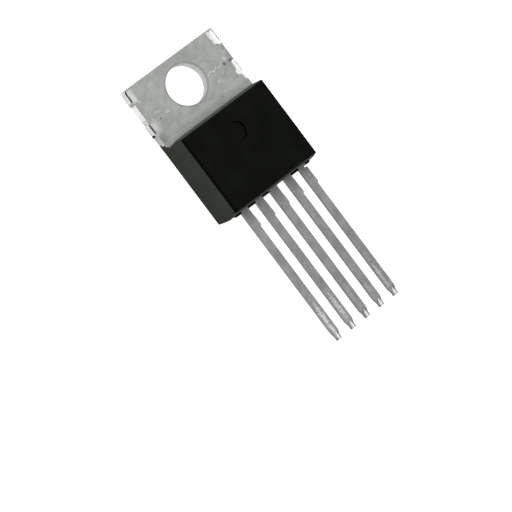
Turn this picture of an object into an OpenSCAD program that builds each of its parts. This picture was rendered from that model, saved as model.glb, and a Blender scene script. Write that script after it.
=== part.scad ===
// Five-lead power voltage regulator in a moulded tab package.
// The part lies on its back: X runs across it, +Y towards the free end of the tab, +Z out of
// the front face. The origin is the centre of the mounting hole on the heat sink's back face.

/* [Heat sink] */
// Width of the tab
tab_w = 10.2; // [9.8:0.1:11]
// Thickness of the heat sink plate
tab_t = 1.27; // [1.1:0.01:1.4]
// From the hole's centre to the free end of the tab
tab_end = 2.82; // [2.6:0.02:3.4]
// Diameter of the mounting hole
hole_d = 3.86; // [3.4:0.02:4]
// Corner radius of the tab's free end
tab_corner_r = 0.12; // [0.05:0.01:0.6]
// Epoxy left beside the plate inside the moulding
plate_side_margin = 0.7; // [0.5:0.05:1]
// Epoxy left below the plate inside the moulding
plate_end_margin = 1.4; // [1.35:0.05:1.8]
// Width of the ledge that locks the plate into the epoxy
lock_step = 0.4; // [0.2:0.05:0.6]
// Height of the ledge's underside above the back face
lock_z = 0.5; // [0.3:0.05:0.8]
// Distance of the sealing groove from the moulding's top edge
groove_inset = 0.7; // [0.5:0.05:1]
// Width of the sealing groove across the plate
groove_w = 0.3; // [0.2:0.02:0.4]
// Depth of the sealing groove
groove_depth = 0.12; // [0.08:0.01:0.2]

/* [Tie bar scars] */
// Length of each sheared tie bar stub along the tab's edge
scar_l = 1.25; // [0.9:0.05:1.4]
// From the tab's free end to the middle of the upper stubs
upper_scar_inset = 0.85; // [0.72:0.01:0.95]
// From the tab's free end to the middle of the lower stubs
lower_scar_inset = 4.35; // [3.8:0.05:4.6]
// How far a sheared stub stands proud of the tab's edge
scar_proud = 0.05; // [0.03:0.01:0.1]
// Width of the pulled-down strip on the left edge
left_scar_w = 0.5; // [0.3:0.05:0.7]
// Width of the pulled-down strip on the right edge
right_scar_w = 0.75; // [0.4:0.05:0.9]
// How far the shear pulled the plate's edge down
scar_drop = 0.09; // [0.05:0.01:0.15]

/* [Moulding] */
// How much narrower than the tab the moulding is at its parting line
body_inset = 0; // [0:0.01:0.2]
// Height of the moulding at its parting line
body_h = 8.51; // [8.2:0.01:9.2]
// From the hole's centre to the moulding's top edge at the parting line
body_top = 3.45; // [3.3:0.01:3.8]
// Thickness of the package, back to front
body_t = 4.45; // [4.3:0.01:4.6]
// Draft of the sides in front of the parting line, in degrees
side_draft = 9.5; // [4:0.5:12]
// Draft of the ends in front of the parting line, in degrees
end_draft = 7; // [4:0.5:12]
// Draft of the sides behind the parting line, in degrees
back_side_draft = 0.5; // [0.5:0.5:3]
// Draft of the ends behind the parting line, in degrees
back_end_draft = 5.5; // [2:0.5:7]
// Radius of the edges round the front face
front_edge_r = 0.06; // [0.04:0.01:0.2]
// Radius of the two corners beside the leads, at the parting line
plan_corner_r = 0.25; // [0.1:0.05:0.5]
// Width of the bevel on the two corners beside the tab
top_bevel_w = 0.7; // [0.4:0.05:1]
// Height of that bevel
top_bevel_h = 0.24; // [0.1:0.01:0.24]
// Diameter of the ejector pin mark
ejector_d = 1.95; // [1.5:0.05:2.4]
// From the hole's centre to the ejector pin mark's centre
ejector_y = 5.98; // [5.6:0.02:7]
// Depth of the ejector pin mark at its right side, from where it rises to nothing at the left
ejector_depth = 0.1; // [0.05:0.01:0.15]
// How far the flash between the leads stands below the moulding
flash_h = 0.14; // [0.08:0.01:0.25]
// Length of the flash beside the two outer leads
flash_end_l = 0.66; // [0.4:0.02:0.8]
// Run of the slope at the end of each flash
flash_slope = 0.14; // [0.08:0.01:0.2]

/* [Leads] */
// Distance between neighbouring leads
lead_spacing = 1.702; // [1.65:0.002:1.75]
// Width of a lead
lead_w = 0.72; // [0.64:0.01:0.8]
// Thickness of a lead
lead_t = 0.45; // [0.38:0.01:0.6]
// Height of the leads' back faces above the heat sink's back face
lead_z = 2.52; // [2.3:0.01:2.7]
// Length of the leads outside the moulding
lead_l = 14.2; // [12.8:0.01:14.6]
// Length of the wider stretch next to the moulding
shoulder_l = 1.88; // [1.4:0.02:2.4]
// Extra width where that stretch leaves the moulding
shoulder_w = 0.08; // [0.05:0.01:0.12]
// Extra width at that stretch's far end, where the dam bar was cut
dam_bar_w = 0.13; // [0.12:0.01:0.18]
// Length of the taper down to the neck at each tip
tip_taper_l = 0.42; // [0.2:0.02:0.5]
// Length of the neck at each tip
neck_l = 0.2; // [0.15:0.05:0.6]
// Width of the neck at each tip
neck_w = 0.42; // [0.3:0.01:0.5]
// How far the cut pulled each tip's front face down
tip_drop = 0.16; // [0.1:0.01:0.3]
// Depth of the nick beside the last lead's dam bar cut
nick_depth = 0.3; // [0.1:0.02:0.4]
// Height of that nick
nick_h = 0.13; // [0.08:0.01:0.2]

/* [Inside the moulding] */
// Height of the inner posts above the moulding's lower edge
post_h = 2.1; // [1.8:0.05:2.3]
// Height of the bond pads at the posts' inner ends
pad_h = 1.3; // [0.9:0.05:1.4]
// Width of the two outer bond pads
outer_pad_w = 1.6; // [1.2:0.05:1.8]
// Offset of the outer bond pads away from the middle
outer_pad_shift = 0.22; // [0.1:0.02:0.3]
// Width of the two inner bond pads
inner_pad_w = 1.3; // [1.1:0.05:1.4]
// Offset of the inner bond pads away from the middle
inner_pad_shift = 0.1; // [0.05:0.01:0.15]
// Width of the stamped strip that joins the centre lead to the plate
strip_w = 1.1; // [1:0.05:1.3]
// Steepness of that strip where it climbs to the lead plane, in degrees
strip_angle = 70; // [60:1:80]
// Radius of the strip's bends, on its middle plane
strip_bend_r = 0.4; // [0.3:0.02:0.45]
// Depth of the notches that anchor the leads in the epoxy
anchor_depth = 0.12; // [0.05:0.01:0.16]
// Height of those notches
anchor_h = 0.25; // [0.15:0.01:0.3]
// Width of the silicon die, across the part
die_w = 3.4; // [3.2:0.1:3.8]
// Height of the silicon die, along the part
die_h = 2.6; // [2:0.1:3]
// Thickness of the silicon die
die_t = 0.3; // [0.2:0.01:0.4]
// Thickness of the solder under the die
solder_t = 0.05; // [0.03:0.01:0.1]
// Solder that shows round the die's edge
solder_margin = 0.15; // [0.05:0.05:0.3]
// Gap between the die and the end of the plate
die_end_gap = 1.3; // [1.2:0.05:1.6]
// Inset of the wire feet from the die's edges
die_pad_inset = 0.42; // [0.3:0.02:0.5]
// Diameter of the two power leads' bond wires
power_wire_d = 0.25; // [0.15:0.01:0.3]
// Diameter of the signal and ground bond wires
signal_wire_d = 0.15; // [0.1:0.01:0.2]
// Spacing of the paired power wires, as centre distance
wire_pair_gap = 0.5; // [0.42:0.02:0.56]

/* [Hidden] */
$fn = 96;

// Colours, as the photograph shows them where they can be seen
tinned_colour = [0.63, 0.64, 0.62];
epoxy_colour = [0.08, 0.085, 0.08];
silicon_colour = [0.36, 0.38, 0.44];
solder_colour = [0.58, 0.58, 0.6];
wire_colour = [0.82, 0.82, 0.84];

// Overlap of shapes that are joined or cut through
eps = 0.02;
// Reach of a cutting or bounding shape past whatever it cuts or bounds
over = 20;
// Length of the centre lead's strip that is buried in the plate
strip_root = 1;
// Height of each flash's root inside the moulding
flash_root = 0.2;

// Levels in Z
parting_z = lead_z;
lead_front_z = lead_z + lead_t;
solder_top_z = tab_t + solder_t;
die_top_z = solder_top_z + die_t;

// Edges in Y
tab_end_y = tab_end;
body_top_y = -body_top;
body_bottom_y = body_top_y - body_h;
back_top_y = body_top_y - parting_z * tan(back_end_draft);
back_bottom_y = body_bottom_y + parting_z * tan(back_end_draft);
plate_end_y = back_bottom_y + plate_end_margin;
tip_y = body_bottom_y - lead_l;
post_top_y = body_bottom_y + post_h;

// Width of the moulding at its parting line
body_w = tab_w - body_inset;
// Half widths in X
plate_half_w = body_w / 2 - plate_side_margin;
back_half_w = body_w / 2 - parting_z * tan(back_side_draft);
front_half_w = body_w / 2 - (body_t - parting_z) * tan(side_draft);

// Centre of the die
die_y = plate_end_y + die_end_gap + die_h / 2;

// Leads are numbered from the left, seen from the front with the leads down
CENTRE_LEAD = 3;
LAST_LEAD = 5;
function lead_x(i) = (i - CENTRE_LEAD) * lead_spacing;

function unit(v) = v / norm(v);

// Points of an arc of radius r that rounds corner p between its neighbours a and b
function corner_arc(a, p, b, r, steps = 4) =
    let (
        u = unit(a - p),
        v = unit(b - p),
        half = acos(u * v) / 2,
        centre = p + unit(u + v) * r / sin(half),
        first = p + u * r / tan(half) - centre,
        last = p + v * r / tan(half) - centre,
        start = atan2(first.y, first.x),
        turn = (atan2(last.y, last.x) - start + 540) % 360 - 180
    )
    [for (k = [0 : steps]) centre + r * [cos(start + turn * k / steps), sin(start + turn * k / steps)]];

// Outline whose corners are rounded by the radii given, a radius of 0 leaves the corner sharp
function rounded(points, radii) =
    let (n = len(points))
    [
        for (k = [0 : n - 1])
            each (radii[k] == 0
                ? [points[k]]
                : corner_arc(points[(k + n - 1) % n], points[k], points[(k + 1) % n], radii[k]))
    ];

// Side view outlines are drawn as [y, z] and pulled out along X, centred on the part
module pull_along_x(width, points) {
    rotate([90, 0, 90])
        translate([0, 0, -width / 2])
            linear_extrude(width)
                polygon(points);
}

// End view outlines are drawn as [x, z] and pulled out along Y, from y_low to y_high
module pull_along_y(y_low, y_high, points) {
    translate([0, y_high, 0])
        rotate([90, 0, 0])
            linear_extrude(y_high - y_low)
                polygon(points);
}

// Plan outlines are drawn as [x, y] and given a thickness from z_low up
module plate(z_low, thickness, points) {
    translate([0, 0, z_low])
        linear_extrude(thickness)
            polygon(points);
}

// Heat sink

// Cut that pulls the tab's front edge down beside a sheared tie bar
module scar_cut(side, y, width) {
    drop_angle = atan(scar_drop / width);
    half_l = scar_l / 2;
    bevel = width * 0.4;
    translate([side * (tab_w / 2 - width), y, tab_t])
        rotate([0, side * drop_angle, 0])
            linear_extrude(1)
                scale([side, 1])
                    polygon([
                        [0, bevel - half_l], [bevel, -half_l], [2 * width, -half_l],
                        [2 * width, half_l], [bevel, half_l], [0, half_l - bevel]
                    ]);
}

// Sheared end of a tie bar on the tab's edge
module scar_stub(side, y) {
    translate([side * tab_w / 2, y, (tab_t - scar_drop) / 2])
        cube([2 * scar_proud, scar_l, tab_t - scar_drop], center = true);
}

module tab_plate() {
    difference() {
        union() {
            plate(0, tab_t, rounded(
                [
                    [-tab_w / 2, back_top_y], [tab_w / 2, back_top_y],
                    [tab_w / 2, tab_end_y], [-tab_w / 2, tab_end_y]
                ],
                [0, 0, tab_corner_r, tab_corner_r]
            ));
            for (side = [-1, 1], inset = [upper_scar_inset, lower_scar_inset])
                scar_stub(side, tab_end_y - inset);
        }
        for (inset = [upper_scar_inset, lower_scar_inset]) {
            scar_cut(-1, tab_end_y - inset, left_scar_w);
            scar_cut(1, tab_end_y - inset, right_scar_w);
        }
        translate([0, 0, -over / 2])
            cylinder(d = hole_d, h = over);
    }
}

// Part of the plate inside the moulding, with a ledge all round that the epoxy grips
module inner_plate() {
    groove_y = body_top_y - groove_inset;
    difference() {
        plate(0, tab_t, [
            [-plate_half_w, plate_end_y], [plate_half_w, plate_end_y],
            [plate_half_w, back_top_y + eps], [-plate_half_w, back_top_y + eps]
        ]);
        for (side = [-1, 1])
            translate([side * plate_half_w, (plate_end_y + back_top_y) / 2, lock_z / 2 - over / 2])
                cube([2 * lock_step, back_top_y - plate_end_y + over, lock_z + over], center = true);
        translate([0, plate_end_y, lock_z / 2 - over / 2])
            cube([over, 2 * lock_step, lock_z + over], center = true);
        pull_along_x(over, [
            [groove_y - groove_w / 2, tab_t + eps], [groove_y, tab_t - groove_depth],
            [groove_y + groove_w / 2, tab_t + eps]
        ]);
    }
}

// Side view of the strip that climbs from the plate to the lead plane, as a band of the lead's
// thickness that follows two bends, from the plate's front face level down the part
function strip_band(side) =
    let (
        low = tab_t - lead_t / 2,
        high = lead_z + lead_t / 2,
        climb = high - low - 2 * strip_bend_r * (1 - cos(strip_angle)),
        ramp = climb / sin(strip_angle),
        foot_y = plate_end_y - eps,
        steps = 6,
        half = side * lead_t / 2,
        knee_y = foot_y - 2 * strip_bend_r * sin(strip_angle) - ramp * cos(strip_angle)
    )
    concat(
        [[plate_end_y + strip_root, low + half]],
        [for (k = [0 : steps]) let (a = strip_angle * k / steps)
            [foot_y - (strip_bend_r - half) * sin(a), low + strip_bend_r - (strip_bend_r - half) * cos(a)]],
        [for (k = [steps : -1 : 0]) let (a = strip_angle * k / steps)
            [knee_y + (strip_bend_r + half) * sin(a), high - strip_bend_r + (strip_bend_r + half) * cos(a)]],
        [[body_bottom_y - eps, high + half]]
    );

function reversed(list) = [for (k = [len(list) - 1 : -1 : 0]) list[k]];

module centre_strip() {
    pull_along_x(strip_w, concat(strip_band(1), reversed(strip_band(-1))));
}

// Leads

// Plan outline of the outer end of a lead, up to just inside the moulding. The right edge keeps
// the stretch that was cut free of the dam bar.
function outer_outline(x, top_y) = [
    [x - neck_w / 2, tip_y], [x + neck_w / 2, tip_y],
    [x + neck_w / 2, tip_y + neck_l], [x + lead_w / 2, tip_y + neck_l + tip_taper_l],
    [x + lead_w / 2, body_bottom_y - shoulder_l - dam_bar_w],
    [x + lead_w / 2 + dam_bar_w, body_bottom_y - shoulder_l],
    [x + lead_w / 2 + shoulder_w, body_bottom_y], [x + lead_w / 2 + shoulder_w, top_y],
    [x - lead_w / 2, top_y], [x - lead_w / 2, tip_y + neck_l + tip_taper_l],
    [x - neck_w / 2, tip_y + neck_l]
];

// Fall that the shear left on the front of a lead's tip
module tip_cut(x) {
    fall_l = neck_l + tip_taper_l;
    translate([x, tip_y + fall_l, lead_front_z])
        rotate([atan(tip_drop / fall_l), 0, 0])
            translate([-lead_w, -2 * fall_l, 0])
                cube([2 * lead_w, 2 * fall_l, lead_t]);
}

// Nick that the dam bar cut left in the last lead, just below the moulding
module dam_bar_nick(x) {
    translate([x + lead_w / 2 + dam_bar_w - nick_depth, body_bottom_y - flash_h - nick_h, lead_z - eps])
        cube([nick_depth + eps, nick_h, lead_t + 2 * eps]);
}

module outer_lead_end(i, top_y) {
    difference() {
        plate(lead_z, lead_t, outer_outline(lead_x(i), top_y));
        tip_cut(lead_x(i));
        if (i == LAST_LEAD) dam_bar_nick(lead_x(i));
    }
}

function is_outer(i) = i == 1 || i == LAST_LEAD;
function pad_w(i) = is_outer(i) ? outer_pad_w : inner_pad_w;
function pad_shift(i) = is_outer(i) ? outer_pad_shift : inner_pad_shift;
function pad_x(i) = lead_x(i) + sign(i - CENTRE_LEAD) * pad_shift(i);

// A lead with its post inside the moulding: anchor notches, then the bond pad
module lead(i) {
    x = lead_x(i);
    pad_y = post_top_y - pad_h;
    anchor_y = (body_bottom_y + pad_y) / 2;
    anchor_half = lead_w / 2 - anchor_depth;
    color(tinned_colour)
        union() {
            outer_lead_end(i, anchor_y - anchor_h / 2);
            plate(lead_z, lead_t, [
                [x - anchor_half, anchor_y - anchor_h / 2 - eps],
                [x + anchor_half, anchor_y - anchor_h / 2 - eps],
                [x + anchor_half, anchor_y + anchor_h / 2],
                [x + lead_w / 2, anchor_y + anchor_h / 2],
                [x + lead_w / 2, pad_y], [pad_x(i) + pad_w(i) / 2, pad_y],
                [pad_x(i) + pad_w(i) / 2, post_top_y], [pad_x(i) - pad_w(i) / 2, post_top_y],
                [pad_x(i) - pad_w(i) / 2, pad_y], [x - lead_w / 2, pad_y],
                [x - lead_w / 2, anchor_y + anchor_h / 2],
                [x - anchor_half, anchor_y + anchor_h / 2]
            ]);
        }
}

module lead_1() { lead(1); }
module lead_2() { lead(2); }
module lead_4() { lead(4); }
module lead_5() { lead(5); }

// The plate and the centre lead are stamped from one strip
module heat_sink_tab() {
    color(tinned_colour)
        union() {
            tab_plate();
            inner_plate();
            centre_strip();
            outer_lead_end(CENTRE_LEAD, body_bottom_y + eps);
        }
}

// Die and its solder

module die_solder() {
    color(solder_colour)
        translate([0, die_y, tab_t + solder_t / 2])
            cube([die_w + 2 * solder_margin, die_h + 2 * solder_margin, solder_t], center = true);
}

module silicon_die() {
    color(silicon_colour)
        translate([0, die_y, solder_top_z + die_t / 2])
            cube([die_w, die_h, die_t], center = true);
}

// Bond wires

// Half of the angle that a wire's loop turns through, in degrees
loop_half_angle = 84;
// The ground wire is short and steps down to the plate, so its loop is flatter
ground_half_angle = 74;
// Size of a wedge bonded foot, as multiples of the wire's diameter
foot_l_factor = 2.4;
foot_w_factor = 1.5;
foot_t_factor = 0.75;
// Height of the wire's middle in its feet, as a multiple of its diameter
wire_z_factor = 0.36;
wire_fn = 16;

module wedge_foot(d) {
    translate([-foot_l_factor * d / 2, -foot_w_factor * d / 2, 0])
        cube([foot_l_factor * d, foot_w_factor * d, foot_t_factor * d]);
}

// Wire from pad point a to pad point b, each [x, y, z] on the face it is bonded to. It is one
// arc in an upright plane, and its ends are buried in a foot on each pad.
module bond_wire(a, b, d, half_angle = loop_half_angle) {
    span = norm([b.x - a.x, b.y - a.y]);
    lift = b.z - a.z;
    chord_angle = atan2(lift, span);
    loop_r = norm([span, lift]) / 2 / sin(half_angle);
    sink = loop_r * cos(half_angle);
    color(wire_colour)
        translate(a)
            rotate([0, 0, atan2(b.y - a.y, b.x - a.x)]) {
                wedge_foot(d);
                translate([span, 0, lift])
                    wedge_foot(d);
                translate([
                    span / 2 + sink * sin(chord_angle), 0,
                    lift / 2 - sink * cos(chord_angle) + wire_z_factor * d
                ])
                    rotate([90, 0, 0])
                        rotate([0, 0, chord_angle + 90 - half_angle])
                            rotate_extrude(angle = 2 * half_angle)
                                translate([loop_r, 0])
                                    circle(d = d, $fn = wire_fn);
            }
}

// Pad points on the die, counted from its middle to the right, on its edge nearest the leads
function die_pad(x) = [x, die_y - die_h / 2 + die_pad_inset, die_top_z];

// Pad points in the middle of a lead's bond pad
function post_pad(i, dx) = [pad_x(i) + dx, post_top_y - pad_h / 2, lead_front_z];

// Where the wires land on the die, across it
signal_pad_x = die_w / 2 - die_pad_inset;
power_inner_x = 0.66 * wire_pair_gap;
power_outer_x = power_inner_x + wire_pair_gap;

module bond_wire_enable() {
    bond_wire(die_pad(-signal_pad_x), post_pad(1, 0), signal_wire_d);
}

module bond_wire_input_a() {
    bond_wire(die_pad(-power_outer_x), post_pad(2, -wire_pair_gap / 2), power_wire_d);
}

module bond_wire_input_b() {
    bond_wire(die_pad(-power_inner_x), post_pad(2, wire_pair_gap / 2), power_wire_d);
}

module bond_wire_output_a() {
    bond_wire(die_pad(power_inner_x), post_pad(4, -wire_pair_gap / 2), power_wire_d);
}

module bond_wire_output_b() {
    bond_wire(die_pad(power_outer_x), post_pad(4, wire_pair_gap / 2), power_wire_d);
}

module bond_wire_adjust() {
    bond_wire(die_pad(signal_pad_x), post_pad(5, 0), signal_wire_d);
}

// From the far end of the die to the plate beside it
module bond_wire_ground() {
    x = die_w / 2 - die_pad_inset;
    y = die_y + die_h / 4;
    landing_x = die_w / 2 + (plate_half_w - die_w / 2) / 2;
    bond_wire([x, y, die_top_z], [landing_x, y, tab_t], signal_wire_d, ground_half_angle);
}

module bond_wires() {
    bond_wire_enable();
    bond_wire_input_a();
    bond_wire_input_b();
    bond_wire_ground();
    bond_wire_output_a();
    bond_wire_output_b();
    bond_wire_adjust();
}

// Moulding

// Outer form: an end view and a side view, both drafted away from the parting line, and a plan
// that bevels the corners beside the tab and rounds the others
module body_form() {
    intersection() {
        pull_along_y(body_bottom_y - over, body_top_y + over, rounded(
            [
                [-back_half_w, 0], [back_half_w, 0], [body_w / 2, parting_z],
                [front_half_w, body_t], [-front_half_w, body_t], [-body_w / 2, parting_z]
            ],
            [0, 0, 0, front_edge_r, front_edge_r, 0]
        ));
        pull_along_x(body_w + over, rounded(
            [
                [back_bottom_y, 0], [back_top_y, 0], [body_top_y, parting_z],
                [body_top_y - (body_t - parting_z) * tan(end_draft), body_t],
                [body_bottom_y + (body_t - parting_z) * tan(end_draft), body_t],
                [body_bottom_y, parting_z]
            ],
            [0, 0, 0, front_edge_r, front_edge_r, 0]
        ));
        plate(-over, body_t + 2 * over, rounded(
            [
                [-body_w / 2, body_bottom_y], [body_w / 2, body_bottom_y],
                [body_w / 2, body_top_y - top_bevel_h], [body_w / 2 - top_bevel_w, body_top_y],
                [top_bevel_w - body_w / 2, body_top_y], [-body_w / 2, body_top_y - top_bevel_h]
            ],
            [plan_corner_r, plan_corner_r, 0, 0, 0, 0]
        ));
    }
}

// Flash that filled the space up to the dam bar, from x_low to x_high, with a sloped end where
// it is told
module flash(x_low, x_high, slope_low = 0, slope_high = 0) {
    plate(lead_z, lead_t, [
        [x_low, body_bottom_y + flash_root], [x_low, body_bottom_y],
        [x_low + slope_low, body_bottom_y - flash_h], [x_high - slope_high, body_bottom_y - flash_h],
        [x_high, body_bottom_y], [x_high, body_bottom_y + flash_root]
    ]);
}

// Print of an ejector pin that stood a little askew, so its floor slopes down to the right
module ejector_mark() {
    translate([-ejector_d / 2, -ejector_y, body_t])
        rotate([0, atan(ejector_depth / ejector_d), 0])
            translate([ejector_d / 2, 0, 0])
                cylinder(d = ejector_d, h = 1);
}

module moulded_body() {
    outer_x = lead_x(LAST_LEAD) + lead_w / 2 + flash_end_l;
    color(epoxy_colour)
        difference() {
            union() {
                body_form();
                flash(-outer_x, lead_x(1), flash_slope, 0);
                flash(lead_x(1), lead_x(2));
                flash(lead_x(2), lead_x(3));
                flash(lead_x(4), lead_x(LAST_LEAD));
                flash(lead_x(LAST_LEAD), outer_x, 0, flash_slope);
            }
            ejector_mark();
            heat_sink_tab();
            lead_1();
            lead_2();
            lead_4();
            lead_5();
            die_solder();
            silicon_die();
            bond_wires();
        }
}

heat_sink_tab();
moulded_body();
lead_1();
lead_2();
lead_4();
lead_5();
silicon_die();
die_solder();
bond_wire_enable();
bond_wire_input_a();
bond_wire_input_b();
bond_wire_ground();
bond_wire_output_a();
bond_wire_output_b();
bond_wire_adjust();
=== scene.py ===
"""Looks of a five-lead voltage regulator in a moulded tab package, built round its CAD frame.

Sizes and places in the classes are millimetres in the part's own frame: X across the part, Y
towards the tab's free end, Z out of the front face. MM turns them into the scene's metres.
"""

import logging
import math
from dataclasses import dataclass
from enum import Enum

import bmesh
import bpy
from bpy.types import ID, Material, Mesh, Node, NodeInputs, NodeOutputs, NodeSocket, NodeTree, Object
from mathutils import Matrix, Vector


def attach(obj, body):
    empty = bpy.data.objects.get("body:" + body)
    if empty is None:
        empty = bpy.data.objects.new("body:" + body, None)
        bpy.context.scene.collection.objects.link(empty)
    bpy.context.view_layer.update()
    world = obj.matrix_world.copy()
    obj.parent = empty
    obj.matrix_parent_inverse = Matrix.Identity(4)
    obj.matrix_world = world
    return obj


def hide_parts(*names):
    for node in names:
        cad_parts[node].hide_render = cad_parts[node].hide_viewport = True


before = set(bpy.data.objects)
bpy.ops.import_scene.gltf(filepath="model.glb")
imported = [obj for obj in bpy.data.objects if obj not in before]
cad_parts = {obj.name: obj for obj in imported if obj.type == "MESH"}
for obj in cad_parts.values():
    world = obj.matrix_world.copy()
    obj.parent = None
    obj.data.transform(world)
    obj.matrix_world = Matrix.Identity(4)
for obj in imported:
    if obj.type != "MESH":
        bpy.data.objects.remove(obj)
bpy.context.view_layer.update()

MM = 0.001
BODY = "root"

# Middle of a noise texture's range, where most of its values lie, and a narrower part of it
NOISE_MIDDLE = (0.3, 0.7)
NOISE_CORE = (0.35, 0.65)

# What feeds a node's input: another node's output, or a constant
Source = NodeSocket | float | str | tuple[float, ...]

log = logging.getLogger("voltage_regulator")


class Surface(Enum):
    """Surfaces of a stamped piece that a patch of finish can lie on."""

    FRONT_FACE = "front_face"
    SHEARED_SIDE = "sheared_side"
    BOTH = "both"


class Graph:
    """Adds nodes to one node tree and joins their sockets."""

    def __init__(self, tree: NodeTree) -> None:
        """Keeps the tree that the nodes go into."""
        self.tree = tree

    def feed(self, socket: NodeSocket, value: Source) -> None:
        """Links an output to a socket, or sets the socket's own value where a constant is given."""
        if isinstance(value, NodeSocket):
            self.tree.links.new(value, socket)
        else:
            socket.default_value = value

    def fill(self, node: Node, inputs: dict[str | int, Source]) -> None:
        """Feeds several inputs of a node, given by name or number."""
        for name, value in inputs.items():
            self.feed(node.inputs[name], value)

    def node(self, kind: str, inputs: dict[str | int, Source] | None = None, **settings: object) -> Node:
        """Adds a node.

        Args:
            kind: Blender's name of the node type.
            inputs: socket name or number to a value, or to a socket to link from.
            **settings: properties of the node itself.

        Returns:
            The new node.
        """
        node = self.tree.nodes.new(kind)
        for name, value in settings.items():
            setattr(node, name, value)
        self.fill(node, inputs or {})
        return node

    def math(self, operation: str, a: Source, b: Source = 0.0) -> NodeSocket:
        """Adds a Math node and returns its result."""
        return self.node("ShaderNodeMath", {0: a, 1: b}, operation=operation).outputs[0]

    def vector(self, operation: str, a: Source, b: Source) -> NodeSocket:
        """Adds a Vector Math node and returns its vector."""
        return self.node("ShaderNodeVectorMath", {0: a, 1: b}, operation=operation).outputs[0]

    def parts(self, vector: Source) -> NodeOutputs:
        """Splits a vector and returns the sockets X, Y and Z."""
        return self.node("ShaderNodeSeparateXYZ", {0: vector}).outputs

    def length(self, vector: Source) -> NodeSocket:
        """Returns a vector's length."""
        return self.node("ShaderNodeVectorMath", {0: vector}, operation="LENGTH").outputs["Value"]

    def dot(self, a: Source, b: Source) -> NodeSocket:
        """Returns the dot product of two vectors."""
        return self.node("ShaderNodeVectorMath", {0: a, 1: b}, operation="DOT_PRODUCT").outputs["Value"]

    def ramp(self, value: Source, low: Source, high: Source, out_low: float = 0.0,
             out_high: float = 1.0) -> NodeSocket:
        """Maps a value smoothly, from out_low where it is low to out_high where it is high."""
        node = self.node("ShaderNodeMapRange", interpolation_type="SMOOTHSTEP", inputs={
            "Value": value, "From Min": low, "From Max": high, "To Min": out_low, "To Max": out_high})
        return node.outputs["Result"]

    def spread(self, noise: Source, low: float = 0.0, high: float = 1.0) -> NodeSocket:
        """Stretches the middle of a noise's range over the span given."""
        return self.ramp(noise, *NOISE_MIDDLE, low, high)

    def blend(self, mask: Source, a: Source, b: Source, mode: str = "MIX") -> NodeSocket:
        """Mixes two colours by a mask.

        Args:
            mask: share of the second colour, from 0 to 1.
            a: first colour.
            b: second colour.
            mode: how the second colour acts on the first.

        Returns:
            The mixed colour.
        """
        node = self.node("ShaderNodeMix", data_type="RGBA", blend_type=mode)
        for name, value in (("Factor_Float", mask), ("A_Color", a), ("B_Color", b)):
            self.feed(next(s for s in node.inputs if s.identifier == name), value)
        return next(s for s in node.outputs if s.identifier == "Result_Color")

    def shade(self, colour: Source, level: Source) -> NodeSocket:
        """Multiplies a colour by a level and returns the colour."""
        tone = self.node("ShaderNodeCombineColor", {0: level, 1: level, 2: level}).outputs[0]
        return self.blend(1.0, colour, tone, "MULTIPLY")

    def noise(self, place: Source, scale: Source, detail: float, roughness: float) -> NodeSocket:
        """Adds a noise texture and returns its value."""
        return self.node("ShaderNodeTexNoise", {
            "Vector": place, "Scale": scale, "Detail": detail, "Roughness": roughness}).outputs[0]

    def group(self, tree: NodeTree, **inputs: Source) -> Node:
        """Adds a node group and feeds its inputs, named with an underscore for each space."""
        named = {name.replace("_", " "): value for name, value in inputs.items()}
        return self.node("ShaderNodeGroup", named, node_tree=tree)

    def relief(self, shader: Node, height: Source, strength: float, depth: float) -> None:
        """Bumps a shader's surface by a height from 0 to 1, with its depth in millimetres."""
        bump = self.node("ShaderNodeBump", {"Strength": strength, "Distance": depth * MM, "Height": height})
        self.feed(shader.inputs["Normal"], bump.outputs["Normal"])


def grey(level: float, tint: float = 0.04) -> tuple[float, float, float, float]:
    """Returns an opaque linear grey with the part's faint green tint, or with the tint given."""
    return (level * (1 - tint), level, level * (1 - 1.5 * tint), 1.0)


def new_finish(name: str) -> tuple[Material, Graph, Node]:
    """Makes a material with its shader.

    Args:
        name: name of the material.

    Returns:
        The material, its graph and its shader.
    """
    material = bpy.data.materials.new(name)
    material.use_nodes = True
    return material, Graph(material.node_tree), material.node_tree.nodes["Principled BSDF"]


def surface_place(graph: Graph) -> tuple[NodeSocket, NodeSocket]:
    """Adds the coordinates that every finish reads.

    Args:
        graph: the material's graph.

    Returns:
        The place on the object in millimetres, and the surface's direction.
    """
    coordinates = graph.node("ShaderNodeTexCoord")
    place = graph.node("ShaderNodeVectorMath", {0: coordinates.outputs["Object"], "Scale": 1 / MM},
                       operation="SCALE").outputs["Vector"]
    return place, coordinates.outputs["Normal"]


def shader_group(name: str, vectors: tuple[str, ...], numbers: tuple[str, ...],
                 results: tuple[str, ...]) -> tuple[NodeTree, Graph, NodeOutputs, NodeInputs]:
    """Makes an empty shader group.

    Args:
        name: name of the group.
        vectors: names of the vectors that come in.
        numbers: names of the numbers that come in.
        results: names of the numbers that go out.

    Returns:
        The tree, its Graph, the sockets that come in and the sockets that go out.
    """
    tree = bpy.data.node_groups.new(name, "ShaderNodeTree")
    for names, in_out, kind in ((vectors, "INPUT", "Vector"), (numbers, "INPUT", "Float"),
                                (results, "OUTPUT", "Float")):
        for socket_name in names:
            tree.interface.new_socket(name=socket_name, in_out=in_out, socket_type=f"NodeSocket{kind}")
    graph = Graph(tree)
    return tree, graph, graph.node("NodeGroupInput").outputs, graph.node("NodeGroupOutput").inputs


# How far full raggedness shifts a patch's edge by its noise, in shares of the patch's half size
EDGE_SHIFT = 4.0
# Cells per millimetre of the noise that warps specks, then the warp and softness of their edges, in
# shares of a speck's cell
SPECK_WARP_SCALE = 14.0
SPECK_WARP = 0.05
SPECK_SOFTNESS = 0.05


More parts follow.
